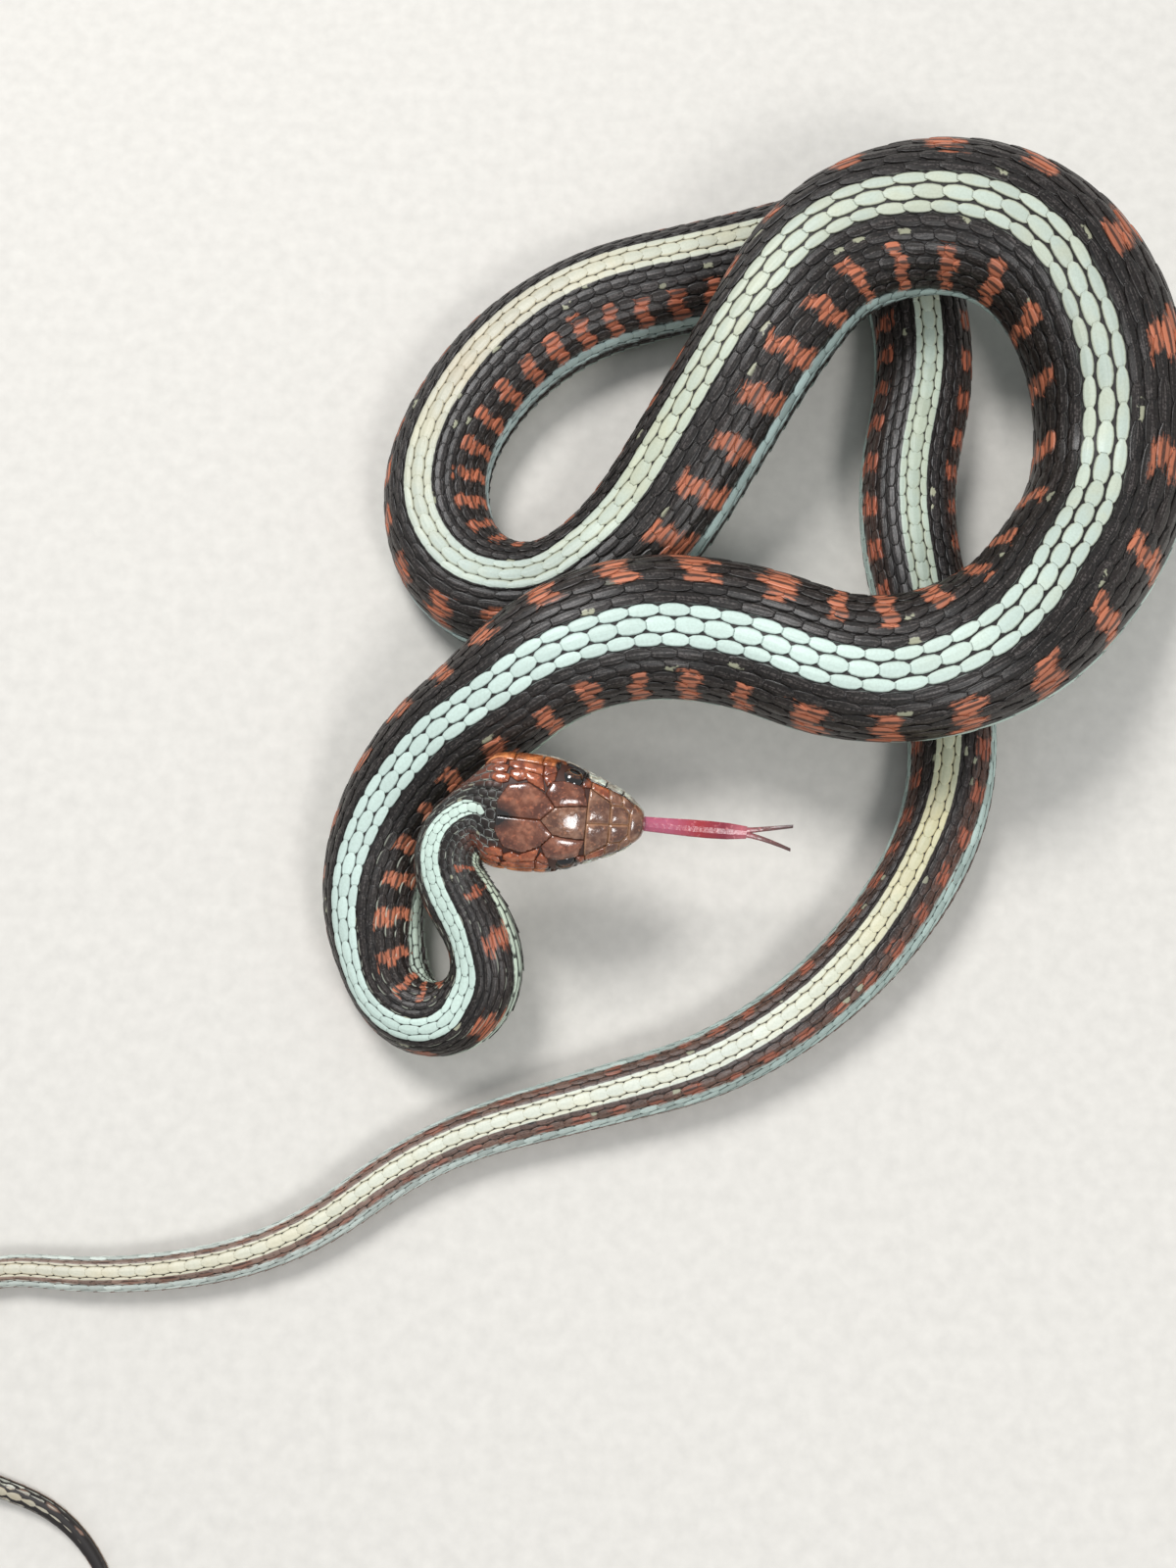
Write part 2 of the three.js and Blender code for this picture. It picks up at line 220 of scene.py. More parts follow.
def outline(place, angle):
    """Head and body as one surface."""
    on_body = smooth(-1.6, 3.8, place)[..., None]
    return head_at(place + HEAD_LENGTH, angle) * (1 - on_body) + body_at(place, angle) * on_body


def rings_to(stops):
    """Places that go on in even steps between rows of [place, step]."""
    found = [np.arange(a[0], b[0], a[1]) for a, b in zip(stops, stops[1:])]
    return np.r_[np.concatenate(found), stops[-1][0]]


SNOUT = -HEAD_LENGTH - SNOUT_CAP
RINGS = np.r_[SNOUT + SNOUT_CAP * (1 - np.cos(np.linspace(0, np.pi / 2, 7)[:-1])),
              -HEAD_LENGTH + np.linspace(0, 1, 12)[:-1] ** 2 * 1.6,
              rings_to([[-23, 0.25], [12, 0.5], [LENGTH, 1]])]
TURN_COUNT = 128
fine = np.linspace(0, 2 * np.pi, 385)
loops = outline(RINGS[:, None], fine[None, :])
runs = np.concatenate(
    [np.zeros((len(RINGS), 1)), np.cumsum(np.linalg.norm(np.diff(loops, axis=1), axis=2), 1)], 1)
GIRTH = runs[:, -1]
even = np.arange(TURN_COUNT) / TURN_COUNT
angles = np.array([np.interp(even * run[-1], run, fine) for run in runs])
SHELL = outline(RINGS[:, None], angles)
across = np.roll(SHELL, -1, 1) - np.roll(SHELL, 1, 1)
NORMALS = np.cross(np.gradient(SHELL, axis=0), across)
NORMALS /= np.maximum(np.linalg.norm(NORMALS, axis=2, keepdims=True), 1e-9)
roll = np.radians(eased(ROLLS, RINGS, ROLL_BLEND))
MIDDLE = np.array([
    np.interp(abs(r), fine, run) / max(run[-1], 1e-9) * np.sign(r) for r, run in zip(roll, runs)
])


def at_ring(values, place):
    return np.interp(place, RINGS, values)


def shell(place, turn, height=0.0):
    """Points at a height over the outline, at places along it and turns round it from the top."""
    i = np.interp(place, RINGS, np.arange(len(RINGS)))
    j = np.mod(turn, 1) * TURN_COUNT
    i0 = np.minimum(i.astype(int), len(RINGS) - 2)
    j0 = j.astype(int) % TURN_COUNT
    j1 = (j0 + 1) % TURN_COUNT
    fi, fj = (i - i0)[..., None], (j - np.floor(j))[..., None]
    point, normal = (
        (g[i0, j0] * (1 - fj) + g[i0, j1] * fj) * (1 - fi)
        + (g[i0 + 1, j0] * (1 - fj) + g[i0 + 1, j1] * fj) * fi
        for g in (SHELL, NORMALS)
    )
    normal /= np.maximum(np.linalg.norm(normal, axis=-1, keepdims=True), 1e-9)
    return point + normal * np.asarray(height)[..., None]


# Rows and rings of scales
ticks = np.arange(-HEAD_LENGTH, LENGTH + 0.25, 0.25)
ridge = shell(ticks, at_ring(MIDDLE, ticks))
counts = np.cumsum(np.r_[0, np.linalg.norm(np.diff(ridge, axis=0), axis=1)] / between(PITCHES, ticks))
counts -= np.interp(0, ticks, counts)


def ring_of(place):
    return np.interp(place, ticks, counts)


def place_of(ring):
    return np.interp(ring, counts, ticks)


def spread_of(row):
    """Distance of a row from the middle of the back, in widths of the upper rows."""
    size = np.abs(row)
    near = np.where(size < 0.5, size * MIDDLE_ROW, size - 0.5 + MIDDLE_ROW / 2)
    return near + ROW_GROWTH * np.maximum(size - 3, 0) ** 2 / 2


ROW_TABLE = np.linspace(0, 30, 3001)


def row_step(place):
    return at_ring(GIRTH, place) * (0.5 - BELLY_SHARE) / spread_of(between(SIDE_ROWS, place) + 0.5)


def row_turn(place, row):
    """The turn at which a row lies."""
    return at_ring(MIDDLE, place) + np.sign(row) * spread_of(row) * row_step(place) / at_ring(GIRTH, place)


def row_of(place, turn):
    """The row at a turn, the other way round."""
    off = np.mod(turn - at_ring(MIDDLE, place) + 0.5, 1) - 0.5
    spread = np.abs(off) * at_ring(GIRTH, place) / np.maximum(row_step(place), 1e-6)
    return np.sign(off) * np.interp(spread, spread_of(ROW_TABLE), ROW_TABLE)


# Markings
def linear(colours):
    colours = np.asarray(colours, float) / 255
    return np.where(colours < 0.04045, colours / 12.92, ((colours + 0.055) / 1.055) ** 2.4)


# Colours along the body: place, red, green, blue as seen on a screen
STRIPE = [
    [-6, 176, 186, 172], [4, 200, 220, 208], [60, 190, 208, 200], [150, 194, 212, 203],
    [200, 184, 197, 186], [300, 178, 187, 174], [330, 184, 192, 174], [350, 192, 201, 186],
    [378, 180, 193, 184], [400, 184, 187, 171], [415, 184, 178, 160], [430, 188, 185, 168],
    [455, 190, 192, 175], [480, 184, 188, 171], [515, 164, 177, 164], [565, 168, 180, 165],
    [600, 190, 186, 152], [645, 207, 212, 200], [700, 200, 202, 186], [780, 186, 180, 162],
    [847, 140, 132, 116],
]
BACK = [
    [-6, 46, 32, 26], [0, 28, 22, 20], [300, 26, 20, 18], [430, 30, 25, 24], [560, 30, 25, 25],
    [620, 42, 33, 30], [655, 74, 60, 55], [700, 104, 86, 78], [740, 134, 114, 102], [847, 118, 100, 88],
]
FLANK = [
    [-4, 122, 62, 42], [1, 104, 56, 40], [6, 34, 25, 22], [300, 28, 21, 18], [430, 34, 26, 23],
    [500, 36, 27, 24], [560, 60, 40, 33], [600, 84, 56, 45], [640, 98, 68, 54], [680, 116, 86, 72],
    [720, 132, 104, 90], [847, 118, 98, 84],
]
BARS = [
    [-3, 140, 74, 50], [8, 158, 86, 60], [60, 178, 108, 80], [400, 170, 98, 70], [560, 150, 82, 60],
    [640, 142, 82, 62], [700, 132, 88, 74], [760, 124, 98, 84],
]
SIDE = [
    [0, 206, 220, 196], [45, 200, 216, 200], [80, 172, 190, 176], [400, 172, 192, 190], [560, 170, 188, 180],
    [640, 164, 182, 176], [700, 186, 196, 190], [760, 200, 208, 200], [847, 168, 162, 146],
]
BELLY = [
    [-20, 206, 208, 188], [0, 150, 160, 136], [80, 150, 172, 166], [560, 150, 168, 158], [640, 150, 152, 136],
    [847, 128, 116, 98],
]
# The skin between the scales
HIDE = [[-24, 66, 38, 28], [-4, 60, 34, 26], [0, 22, 16, 14], [847, 26, 20, 18]]
# Half the breadth of the stripe in rows
STRIPE_ROWS = [
    [-2, -0.6], [-0.5, 0.4], [2, 1], [7, 1.35], [57, 1.4], [90, 1.5], [300, 1.5], [341, 1.3], [400, 1.25],
    [460, 1.12], [620, 1.12], [640, 1.04], [655, 0.97], [680, 0.84], [745, 0.78], [847, 0.75],
]
# The bars reach from this row down to the pale rows above the belly
BAR_ROWS = [[0, 3.5], [560, 3.5], [600, 2.7], [655, 1.9], [715, 1.1], [847, 1]]
# Rings from one bar to the next, half a bar's length in rings, and how uneven the bars are
BAR_RINGS = [
    [0, 3.2], [20, 3], [44, 2.2], [80, 2.2], [180, 2.25], [195, 2.62], [290, 2.6], [305, 2], [345, 1.95],
    [500, 2], [560, 2.2], [847, 2.2],
]
BAR_LENGTH = [[0, 0.3], [60, 0.38], [150, 0.36], [320, 0.34], [400, 0.4], [847, 0.5]]
BAR_UNEVENNESS = [[0, 3], [60, 1], [847, 1]]
BAR_SLANT = 0.06  # rings that a bar leans in each row
BAR_STAGGER = 0.1  # rings between the bar's scales in even rows and in odd ones
BAR_NUMBERED = (189, 100)  # a place with a bar, and that bar's number
FIRST_BAR = 7  # no bars in front of this place
# Where the pale rows above the belly begin, in rows above the lowest, and how many they are
LATERAL_ROWS = [
    [0, 2.4], [40, 2.1], [80, 1.5], [500, 1.5], [560, 2.6], [605, 3.75], [620, 3.4], [660, 3.15], [680, 2.7],
    [715, 2.5], [745, 2.2], [812, 1.6], [847, 1.2],
]
LATERAL_BREADTH = 2
chance = np.random.default_rng(7)
UNEVEN = chance.uniform(-1, 1, (3, 400, 32))  # shift, length and height of each bar in each row
bar_counts = np.cumsum(np.r_[0, np.diff(counts) / between(BAR_RINGS, ticks[1:])])
bar_counts += BAR_NUMBERED[1] - np.interp(BAR_NUMBERED[0], ticks, bar_counts)


def markings(place, row, ring):
    """How far inside each marking a point is, in rows or rings: negative outside it."""
    side = np.abs(row)
    rows = between(SIDE_ROWS, place)
    stripe = between(STRIPE_ROWS, place) - side
    begins = rows - between(LATERAL_ROWS, place)
    lateral = np.minimum(side - begins, np.minimum(rows - 0.2, begins + LATERAL_BREADTH) - side)
    period = between(BAR_RINGS, place)
    slant = BAR_SLANT * (side - 5) * np.sign(row) + BAR_STAGGER * np.where(np.round(side) % 2, 1, -1)
    number = np.interp(ring, counts, bar_counts) + slant / period
    shift, longer, taller = UNEVEN[:, np.rint(number).astype(int) % 400, np.rint(row).astype(int) % 32]
    uneven = between(BAR_UNEVENNESS, place)
    phase = np.abs(number - np.rint(number)) * period + 0.05 * uneven * shift
    top = between(BAR_ROWS, place)
    bar = np.minimum(between(BAR_LENGTH, place) + 0.07 * uneven * longer - phase,
                     np.minimum(side - top - 0.4 * taller, begins + 0.6 - side))
    bar = np.minimum(bar, (place - FIRST_BAR) / 2)
    return dict(
        Bands=np.stack([stripe, bar, lateral], -1),
        Zones=np.stack([side - top, side - rows - 0.5, np.zeros_like(side)], -1),
        Place=np.clip((place - SNOUT) / (LENGTH - SNOUT), 0, 1),
    )


# Making meshes
def hem(made):
    """Hangs a skirt of faces from the edge of a sheet."""
    rim = [e for e in made.edges if e.is_boundary]
    new = bmesh.ops.extrude_edge_only(made, edges=rim)["geom"]
    bmesh.ops.translate(made, vec=(0, 0, -1), verts=[v for v in new if isinstance(v, bmesh.types.BMVert)])


def soften(made):
    """Shades the sheet smooth and leaves its skirt flat."""
    for face in made.faces:
        face.smooth = abs(face.normal.z) > 0.5


def grid(along_count, round_count, skirt):
    """A unit grid in x along and y across, with a skirt if asked."""
    made = bmesh.new()
    bmesh.ops.create_grid(made, x_segments=along_count, y_segments=round_count, size=0.5)
    if skirt:
        hem(made)
        bmesh.ops.recalc_face_normals(made, faces=made.faces)
        if max(made.faces, key=lambda f: f.calc_center_median().z).normal.z < 0:
            bmesh.ops.reverse_faces(made, faces=made.faces)
    soften(made)
    return made


def mesh_of(made, name):
    mesh = bpy.data.meshes.new(name)
    made.to_mesh(mesh)
    made.free()
    return mesh


def many(template, count, name):
    """One mesh with count copies of a template, one after the other."""
    base = bpy.data.objects.new(name, mesh_of(template, name))
    bpy.context.scene.collection.objects.link(base)
    array = base.modifiers.new("copies", "ARRAY")
    array.count = count
    array.use_relative_offset = False
    bpy.context.view_layer.update()
    mesh = bpy.data.meshes.new_from_object(base.evaluated_get(bpy.context.evaluated_depsgraph_get()))
    bpy.data.objects.remove(base)
    return mesh


def coords(mesh):
    flat = np.empty(len(mesh.vertices) * 3)
    mesh.vertices.foreach_get("co", flat)
    return flat.reshape(-1, 3)


def put(mesh, points):
    mesh.vertices.foreach_set("co", (points * MM).ravel())
    mesh.update()


def paint(mesh, **values):
    """Writes attributes of the points: vectors, or numbers."""
    for name, value in values.items():
        if value.ndim == 2:
            mesh.attributes.new(name, "FLOAT_VECTOR", "POINT").data.foreach_set("vector", value.ravel())
        else:
            mesh.attributes.new(name, "FLOAT", "POINT").data.foreach_set("value", value)


def unwrap(mesh, name, u, v):
    corners = np.empty(len(mesh.loops), int)
    mesh.loops.foreach_get("vertex_index", corners)
    layer = mesh.uv_layers.new(name=name)
    layer.data.foreach_set("uv", np.c_[u, v][corners].ravel())


def piece(mesh, name, material):
    found = bpy.data.objects.new(name, mesh)
    bpy.context.scene.collection.objects.link(found)
    mesh.materials.clear()
    mesh.materials.append(material)
    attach(found, "root")
    return found


def bake_place(place, turn):
    """A point of the skin on the sheet that its unrolled form fills."""
    return 0.02 + 0.96 * (place - SNOUT) / (LENGTH - SNOUT), 0.02 + 0.96 * np.mod(turn, 1)


TUFT = 0.003  # breadth of a scale's patch on that sheet


# Materials
class Nodes:
    """Makes the nodes of one shader tree; inputs are values or other nodes' outputs."""

    def __init__(self, tree):
        self.tree = tree

    def add(self, kind, *inputs, out=0, **settings):
        node = self.tree.nodes.new("ShaderNode" + kind)
        for key, value in settings.items():
            if key in node.inputs:
                self.feed(node.inputs[key], value)
            else:
                setattr(node, key, value)
        for socket, value in zip(node.inputs, inputs):
            self.feed(socket, value)
        return node.outputs[out]

    def feed(self, socket, value):
        if isinstance(value, bpy.types.NodeSocket):
            self.tree.links.new(value, socket)
        else:
            socket.default_value = value

    def math(self, operation, *inputs):
        return self.add("Math", *inputs, operation=operation)

    def plus(self, a, b):
        return self.math("ADD", a, b)

    def minus(self, a, b):
        return self.math("SUBTRACT", a, b)

    def gap(self, a, b):
        return self.math("ABSOLUTE", self.minus(a, b))

    def most(self, a, b):
        return self.math("MAXIMUM", a, b)

    def times(self, product, *others):
        for other in others:
            product = self.math("MULTIPLY", product, other)
        return product

    def step(self, value, low, high, *ends):
        """From 0 at low to 1 at high, or between two other ends."""
        return self.add("MapRange", value, low, high, *ends)

    def noise(self, place, scale, detail):
        return self.add("TexNoise", Vector=place, Scale=scale, Detail=detail)

    def painted(self, name, out=2):
        """An attribute of the points: a colour (out=0), a vector (1) or a number (2)."""
        return self.add("Attribute", out=out, attribute_name=name)

    def split(self, vector):
        node = self.tree.nodes.new("ShaderNodeSeparateXYZ")
        self.feed(node.inputs[0], vector)
        return node.outputs

    def tinted(self, colour, parts):
        return self.add("VectorMath", colour, parts, operation="MULTIPLY")

    def mix(self, share, a, b):
        node = self.tree.nodes.new("ShaderNodeMix")
        node.data_type = "RGBA"
        for index, value in ((0, share), (6, a), (7, b)):
            self.feed(node.inputs[index], value)
        return node.outputs[2]

    def ramp(self, share, rows):
        """Colours along a share, from rows of share, red, green and blue."""
        node = self.tree.nodes.new("ShaderNodeValToRGB")
        self.feed(node.inputs[0], share)
        marks = node.color_ramp.elements
        marks[0].position, marks[1].position = rows[0][0], rows[-1][0]
        marks[0].color, marks[1].color = ((*linear(row[1:]), 1) for row in (rows[0], rows[-1]))
        for mark, *colour in rows[1:-1]:
            marks.new(mark).color = (*linear(colour), 1)
        return node.outputs[0]


def material(name, **settings):
    """A material, its nodes and its shader, whose sockets may be set by name."""
    made = bpy.data.materials.new(name)
    made.use_nodes = True
    made.node_tree.nodes.clear()
    output = made.node_tree.nodes.new("ShaderNodeOutputMaterial")
    shader = made.node_tree.nodes.new("ShaderNodeBsdfPrincipled")
    made.node_tree.links.new(shader.outputs[0], output.inputs[0])
    for socket, value in settings.items():
        shader.inputs[socket.replace("_", " ")].default_value = value
    return made, Nodes(made.node_tree), shader


def group(name, inputs, outputs):
    """A shader group and its own sockets."""
    tree = bpy.data.node_groups.new(name, "ShaderNodeTree")
    for kind, sockets in (("INPUT", inputs), ("OUTPUT", outputs)):
        for socket, form in sockets.items():
            tree.interface.new_socket(socket, in_out=kind, socket_type="NodeSocket" + form)
    given = tree.nodes.new("NodeGroupInput").outputs
    result = tree.nodes.new("NodeGroupOutput").inputs
    return tree, Nodes(tree), given, result


def markings_group():
    """The animal's colours from where a point lies: Wear is a noise that frays the edges of the markings."""
    tree, n, given, result = group(
        "markings", {"Wear": "Float"}, {"Scales": "Color", "Skin": "Color", "Bar": "Float", "Pale": "Float"})
    where = n.painted("Place")

    def ramp(rows):
        return n.ramp(where, [((place - SNOUT) / (LENGTH - SNOUT), *colour) for place, *colour in rows])

    def inside(value, fray, soft):
        return n.step(n.plus(value, n.times(given["Wear"], fray)), -soft, soft)

    stripe, bar, lateral = n.split(n.painted("Bands", 1))
    flank, under, luck = n.split(n.painted("Zones", 1))
    in_bar = inside(bar, 0.5, 0.08)
    in_side = inside(lateral, 0.5, 0.15)
    in_stripe = inside(stripe, 0.12, 0.04)
    in_belly = inside(under, 0, 0.05)
    colour = n.mix(inside(flank, 0.5, 0.8), ramp(BACK), ramp(FLANK))
    for share, rows in ((in_bar, BARS), (in_side, SIDE), (in_stripe, STRIPE), (in_belly, BELLY)):
        colour = n.mix(share, colour, ramp(rows))
    bright = n.plus(1.0, n.times(luck, n.step(in_stripe, 0, 1, 0.22, 0.07)))
    n.feed(result["Scales"], n.tinted(colour, bright))
    n.feed(result["Skin"], n.mix(in_belly, n.mix(in_bar, ramp(HIDE), ramp(BARS)), ramp(BELLY)))
    n.feed(result["Bar"], in_bar)
    n.feed(result["Pale"], n.most(in_stripe, n.most(in_side, in_belly)))
    return tree


MARKINGS = markings_group()


def marked(n, wear):
    node = n.tree.nodes.new("ShaderNodeGroup")
    node.node_tree = MARKINGS
    n.feed(node.inputs[0], wear)
    return node.outputs


def scale_material():
    """The markings with what each scale has of its own, from its map: v runs along it, u across it."""
    made, n, shader = material("scales", Specular_IOR_Level=0.38)
    place = n.add("TexCoord", out=3)
    cloud = n.minus(n.noise(place, 900.0, 3.0), 0.5)
    grain = n.noise(place, 2600.0, 4.0)
    v, u, _ = n.split(n.add("UVMap", uv_map="Scale"))
    luck = n.split(n.painted("Zones", 1))[2]
    stripe, _, lateral = n.split(n.painted("Bands", 1))
    along = n.painted("Place")
    lengthwise = n.add("CombineXYZ", n.times(v, 1.6), n.times(u, 9.0), n.times(luck, 30.0))
    streak = n.noise(lengthwise, 1.0, 3.0)
    marks = marked(n, n.plus(cloud, n.times(n.minus(streak, 0.5), 1.3)))
    dark = n.minus(1.0, marks["Pale"])
    plain = n.times(dark, n.minus(1.0, marks["Bar"]))
    nape = n.step(along, 0.046, 0.032)
    rough = n.times(plain, n.minus(1.0, nape))
    wave = n.plus(n.gap(u, 0.5), n.times(cloud, 0.12))
    ends = n.gap(v, 0.5)
    border = n.most(wave, ends)

    # A dark keel in the bars
    keel = n.times(n.step(wave, 0.18, 0.1), dark)
    colour = n.mix(n.times(keel, marks["Bar"], 0.85), marks["Scales"], (0.02, 0.012, 0.01, 1))
    # Painted highlights as pale streaks and a pale keel line on the black scales, and black pits between them
    keel_glint = n.times(n.step(wave, 0.07, 0.02), n.step(grain, 0.42, 0.55))
    light = n.most(n.step(n.plus(streak, n.times(grain, 0.5)), 0.84, 0.94), keel_glint)
    colour = n.mix(n.times(light, rough, 0.5), colour, (0.13, 0.11, 0.105, 1))
    pit = n.step(n.plus(streak, n.times(grain, 0.6)), 0.74, 0.6)
    colour = n.mix(n.times(pit, rough, 0.85), colour, (0.003, 0.003, 0.003, 1))
    # Here and there a pale spot beside the stripe
    beside = n.times(n.step(luck, 0.82, 0.86), n.step(stripe, -2.6, -2.3))
    spot = n.times(n.step(n.plus(v, cloud), 0.5, 0.4), n.step(n.plus(u, cloud), 0.42, 0.34))
    colour = n.mix(n.times(beside, plain, spot), colour, (0.3, 0.3, 0.21, 1))
    haze = n.times(n.step(grain, 0.4, 0.62), n.step(dark, 0, 1, 0.12, 0.03))
    colour = n.mix(haze, colour, (0.2, 0.22, 0.16, 1))
    # Dark edges, all round in front and only at the sides further back
    edge = n.step(n.most(wave, n.plus(ends, -0.02)), 0.42, 0.5)
    slit = n.most(n.step(along, 0.418, 0.408), n.step(n.gap(v, 0.6), 0.28, 0.12))
    edge = n.times(edge, slit, n.minus(0.6, n.times(marks["Bar"], 0.45)))
    colour = n.mix(edge, colour, n.mix(0.8, colour, (0.008, 0.007, 0.007, 1)))
    # Pale rims on the nape, and pale dashes on the neck: pale skin at the scales' edges, partly a painted
    # highlight
    pale_rim = n.times(nape, plain, n.step(border, 0.4, 0.45), n.step(cloud, -0.12, 0.04))
    colour = n.mix(n.times(pale_rim, 0.8), colour, (0.27, 0.29, 0.27, 1))
    pale_skin_and_glint_dash = n.times(n.step(along, 0.125, 0.1), n.step(u, 0.84, 0.9), n.step(n.gap(v, 0.55), 0.36, 0.22),
                   n.step(n.plus(luck, n.times(cloud, 2.5)), 0.2, 0.4))
    colour = n.mix(n.times(pale_skin_and_glint_dash, dark, 0.7), colour, (0.4, 0.42, 0.34, 1))
    # The pale rows above the belly are beaded on the neck
    beads = n.times(n.step(lateral, -0.1, 0.1), n.step(along, 0.1, 0.08), n.step(border, 0.36, 0.43))
    colour = n.mix(n.times(beads, 0.85), colour, (0.01, 0.009, 0.009, 1))
    # Tan patches and edges in the stripe
    patch = n.step(n.noise(place, 130.0, 3.0), 0.46, 0.62)
    tan = n.most(n.times(patch, 0.3), n.times(n.step(wave, 0.3, 0.44), 0.4))
    tan = n.times(tan, n.step(stripe, -0.05, 0.1), n.step(along, 0.2, 0.26))
    colour = n.mix(tan, colour, n.tinted(colour, (1.16, 0.97, 0.72)))

    n.feed(shader.inputs["Base Color"], colour)
    n.feed(shader.inputs["Roughness"], n.step(marks["Pale"], 0, 1, 0.36, 0.42))
    relief = n.plus(streak, n.times(n.noise(place, 7000.0, 2.0), 0.5))
    n.feed(shader.inputs["Normal"], n.add("Bump", Strength=0.4, Distance=0.0001, Height=relief))
    return made


def skin_material():
    made, n, shader = material("skin", Roughness=0.55)
    place = n.add("TexCoord", out=3)
    marks = marked(n, n.minus(n.noise(place, 900.0, 3.0), 0.5))
    n.feed(shader.inputs["Base Color"], marks["Skin"])
    return made


def plain_material(name, colour, roughness):
    made, n, shader = material(name, Roughness=roughness)
    cloud = n.noise(n.add("TexCoord", out=3), 400.0, 3.0)
    base = np.array([*linear(colour), 1.0])
    n.feed(shader.inputs["Base Color"], n.mix(cloud, tuple(base * [0.8, 0.8, 0.8, 1]), tuple(base)))
    return made


# The skin
SKIN_SIDES = 64
SKIN_RINGS = np.r_[RINGS[RINGS < -22], rings_to([[-22, 0.4], [12, 0.8], [60, 1.6], [LENGTH, 1]])]
SKIN_FULL_GIRTH = 14  # where the girth is less the skin lies less deep


def lay_skin():
    mesh = mesh_of(grid(len(SKIN_RINGS) - 1, SKIN_SIDES, False), "skin")
    flat = coords(mesh)
    place = SKIN_RINGS[np.rint((flat[:, 0] + 0.5) * (len(SKIN_RINGS) - 1)).astype(int)]
    turn = flat[:, 1] + at_ring(MIDDLE, place)
    thin = np.clip(GIRTH[np.searchsorted(RINGS, place)] / SKIN_FULL_GIRTH, 0.2, 1)
    put(mesh, shell(place, turn, -COAT_DEPTH * thin))
    paint(mesh, **markings(place, row_of(place, turn), ring_of(place)))
    unwrap(mesh, "Body", *bake_place(place, flat[:, 1] + 0.5))
    made = bmesh.new()
    made.from_mesh(mesh)
    bmesh.ops.remove_doubles(made, verts=[v for v in made.verts if v.is_boundary], dist=1e-5)
    bmesh.ops.holes_fill(made, edges=[e for e in made.edges if e.is_boundary], sides=SKIN_SIDES + 2)
    made.to_mesh(mesh)
    made.free()
    mesh.shade_smooth()
    return piece(mesh, "skin", skin_material())


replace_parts(lay_skin(), *[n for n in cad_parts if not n.startswith(("eye", "tongue"))])

# The scales of back, sides and belly
SCALES = scale_material()
MOST_ROWS = 9
# Length and width of the pale scales in rings and rows: ovals in front, joined end to end further back
PALE_LENGTH = [[0, 1.25], [60, 1.16], [90, 1.1], [150, 1.1], [190, 1.16], [320, 1.18], [360, 1.3], [847, 1.3]]
PALE_WIDTH = [
    [0, 1.08], [60, 1.05], [90, 1.03], [150, 1.03], [190, 0.93], [300, 0.94], [345, 1.06], [847, 1.08],
]
DARK_LENGTH = 1.16
PALE_FULLNESS = 3
DARK_FULLNESS = 3.6
ROOT_RISE, TIP_RISE = 0.1, 0.17  # height of a scale over the skin at its root, and what its tip has more
PALE_DOME, DARK_DOME, NAPE_DOME = 0.11, 0.05, 0.14
KEEL_RISE, KEEL_WIDTH = 0.12, 0.12
FULL_ROW = 2.3  # row width at which a scale stands as high as this
COAT_LENGTHS = [-5, 70, 160, 250, 340, 450, 560, 680, LENGTH - 2]
BELLY_END = 4
BELLY_OVERLAP = 0.012
BELLY_RISE = 0.2
BELLY_FULL_GIRTH = 30
BELLY_EDGE = 0.8  # outside this share of their half width the belly plates are dark


def lens(v, fullness):
    """Half width of a scale along it, as a share of its widest."""
    return np.maximum((1 - np.abs(2 * v - 1) ** fullness) ** 0.6, 0.12 * fullness)


def lay_scales(name, first, last):
    """Keeled scales of the rings from first to last."""
    rings, rows = np.meshgrid(
        np.arange(np.ceil(ring_of(first)), ring_of(last) - 0.01), np.arange(-MOST_ROWS, MOST_ROWS + 1))
    rings, rows = rings.ravel(), rows.ravel()
    rings = rings + 0.5 * (np.abs(rows) % 2)
    centre = place_of(rings + 0.5)
    kept = np.abs(rows) <= between(SIDE_ROWS, centre) + 0.3
    kept &= centre > between(NAPE, np.abs(rows))
    rings, rows, centre = rings[kept], rows[kept], centre[kept]
    template = grid(7, 6, True)
    size = len(template.verts)
    mesh = many(template, len(rings), name)
    flat = coords(mesh)
    v, u, top = flat[:, 0] + 0.5, flat[:, 1] * 2, flat[:, 2] + 1
    v = 0.5 - 0.5 * np.cos(np.pi * v)
    rings, rows, centre = (np.repeat(x, size) for x in (rings, rows, centre))
    pale = np.abs(rows) < between(STRIPE_ROWS, centre) - 0.2
    ring = rings + v * np.where(pale, eased(PALE_LENGTH, centre, 10), DARK_LENGTH)
    width = np.where(pale, eased(PALE_WIDTH, centre, 10), 1)
    place = place_of(ring)
    row = rows + u * lens(v, np.where(pale, PALE_FULLNESS, DARK_FULLNESS)) * width / 2
    nape = smooth(9, 1, centre)
    dome = (np.where(pale, PALE_DOME, DARK_DOME) + NAPE_DOME * nape) * (1 - u ** 2) * np.sin(np.pi * v) ** 0.5
    keel = KEEL_RISE * (1 - nape) * np.exp(-((u / KEEL_WIDTH) ** 2))
    keel = keel * smooth(0, 0.25, v) * smooth(1.02, 0.9, v)
    grow = np.clip(row_step(centre) / FULL_ROW, 0.3, 1.1)
    height = np.where(
        top > 0.5, -COAT_DEPTH + (ROOT_RISE + TIP_RISE * v + dome + keel) * grow, -COAT_DEPTH - 0.12)
    put(mesh, shell(place, row_turn(place, row), height))
    marks = markings(place, row, ring)
    marks["Zones"][:, 2] = np.repeat(chance.uniform(-1, 1, len(rings) // size), size)
    paint(mesh, **marks)
    unwrap(mesh, "Scale", v, u / 2 + 0.5)
    root_u, root_v = bake_place(centre, row_turn(centre, rows))
    unwrap(mesh, "OFBake", root_u + (v - 0.5) * TUFT, root_v + u / 2 * TUFT)
    return piece(mesh, name, SCALES)


